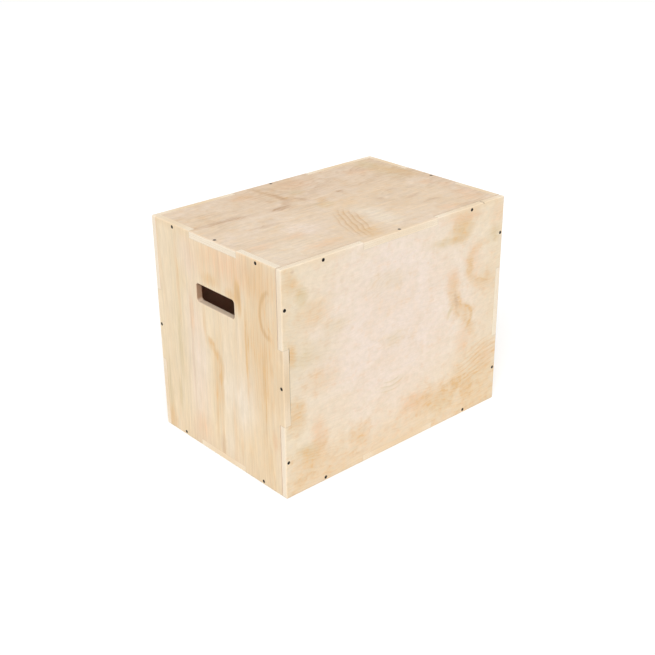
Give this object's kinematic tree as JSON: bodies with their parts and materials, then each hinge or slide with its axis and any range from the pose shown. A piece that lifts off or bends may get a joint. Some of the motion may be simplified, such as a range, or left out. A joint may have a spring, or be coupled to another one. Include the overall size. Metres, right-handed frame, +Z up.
{
  "type": "plyo box",
  "caption": "Closed plywood jump box with finger-jointed, screwed panels and a hand hole in each end; it stands on any face for a different jump height.",
  "frame": {"origin": "middle of the box's footprint, on the surface that it stands on", "axes": "+X along the length towards the right end, +Y along the width towards the back, +Z up"},
  "size_m": [0.76, 0.51, 0.6],
  "materials": {
    "plywood": "sanded, unfinished",
    "black_screw": "black phosphate, satin"
  },
  "bodies": {
    "root": {"front_panel": "plywood", "front_panel_screw_1": "black_screw", "front_panel_screw_2": "black_screw", "front_panel_screw_3": "black_screw", "front_panel_screw_4": "black_screw", "front_panel_screw_5": "black_screw", "front_panel_screw_6": "black_screw", "front_panel_screw_7": "black_screw", "front_panel_screw_8": "black_screw", "back_panel": "plywood", "back_panel_screw_1": "black_screw", "back_panel_screw_2": "black_screw", "back_panel_screw_3": "black_screw", "back_panel_screw_4": "black_screw", "back_panel_screw_5": "black_screw", "back_panel_screw_6": "black_screw", "back_panel_screw_7": "black_screw", "back_panel_screw_8": "black_screw", "left_end_panel": "plywood", "left_end_panel_screw_1": "black_screw", "left_end_panel_screw_2": "black_screw", "left_end_panel_screw_3": "black_screw", "left_end_panel_screw_4": "black_screw", "left_end_panel_screw_5": "black_screw", "left_end_panel_screw_6": "black_screw", "right_end_panel": "plywood", "right_end_panel_screw_1": "black_screw", "right_end_panel_screw_2": "black_screw", "right_end_panel_screw_3": "black_screw", "right_end_panel_screw_4": "black_screw", "right_end_panel_screw_5": "black_screw", "right_end_panel_screw_6": "black_screw", "top_panel": "plywood", "top_panel_screw_1": "black_screw", "top_panel_screw_2": "black_screw", "top_panel_screw_3": "black_screw", "top_panel_screw_4": "black_screw", "bottom_panel": "plywood", "bottom_panel_screw_1": "black_screw", "bottom_panel_screw_2": "black_screw", "bottom_panel_screw_3": "black_screw", "bottom_panel_screw_4": "black_screw"}
  },
  "joints": []
}
